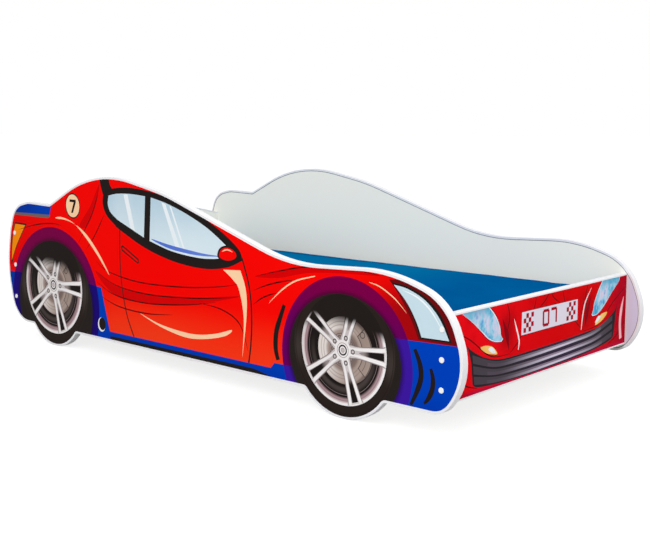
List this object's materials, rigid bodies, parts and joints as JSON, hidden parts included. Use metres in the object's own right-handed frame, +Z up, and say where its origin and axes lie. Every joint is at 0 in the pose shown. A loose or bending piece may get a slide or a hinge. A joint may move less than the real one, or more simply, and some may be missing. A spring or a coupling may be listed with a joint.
{
  "type": "children's car bed",
  "caption": "Child's bed between two panels cut and printed like a sports car, with a slatted base and a loose blue mattress.",
  "frame": {"origin": "on the floor, under the centre of the bed", "axes": "+X towards the car's nose, +Y towards its left side, +Z up"},
  "size_m": [1.7145, 0.8436, 0.5132],
  "materials": {
    "panel_board": "satin printed melamine",
    "edging": "soft satin",
    "furniture_screw": "zinc plated",
    "screw_cap": "gloss",
    "wood_screw": "yellow zinc",
    "staple": "galvanised",
    "spruce": "planed, unfinished",
    "webbing": "woven polyester",
    "foam": "open-cell foam",
    "mattress_fabric": "plain woven cotton"
  },
  "bodies": {
    "bed": {"end_slat_screws": "wood_screw", "front_end_rail": "spruce", "front_end_rail_screws": "wood_screw", "front_left_corner_screws": "furniture_screw", "front_left_screw_caps": "screw_cap", "front_panel": "panel_board", "front_panel_bottom_edging": "edging", "front_panel_top_edging": "edging", "front_right_corner_screws": "furniture_screw", "front_right_screw_caps": "screw_cap", "left_body_edging": "edging", "left_front_wheel_edging": "edging", "left_rear_wheel_edging": "edging", "left_side_panel": "panel_board", "left_side_rail": "spruce", "left_side_rail_screws": "wood_screw", "left_sill_edging": "edging", "left_slat_tape": "webbing", "rear_end_rail": "spruce", "rear_end_rail_screws": "wood_screw", "rear_left_corner_screws": "furniture_screw", "rear_left_screw_caps": "screw_cap", "rear_panel": "panel_board", "rear_panel_bottom_edging": "edging", "rear_panel_top_edging": "edging", "rear_right_corner_screws": "furniture_screw", "rear_right_screw_caps": "screw_cap", "right_body_edging": "edging", "right_front_wheel_edging": "edging", "right_rear_wheel_edging": "edging", "right_side_panel": "panel_board", "right_side_rail": "spruce", "right_side_rail_screws": "wood_screw", "right_sill_edging": "edging", "right_slat_tape": "webbing", "slat_01": "spruce", "slat_02": "spruce", "slat_03": "spruce", "slat_04": "spruce", "slat_05": "spruce", "slat_06": "spruce", "slat_07": "spruce", "slat_08": "spruce", "slat_09": "spruce", "slat_10": "spruce", "slat_11": "spruce", "slat_12": "spruce", "tape_staples": "staple"},
    "mattress": {"mattress_core": "foam", "mattress_cover": "mattress_fabric"}
  },
  "joints": [
    {"name": "mattress_lift", "type": "slide", "parent": "bed", "child": "mattress", "axis": [0, 0, 1], "range_m": [0, 0.4]}
  ]
}
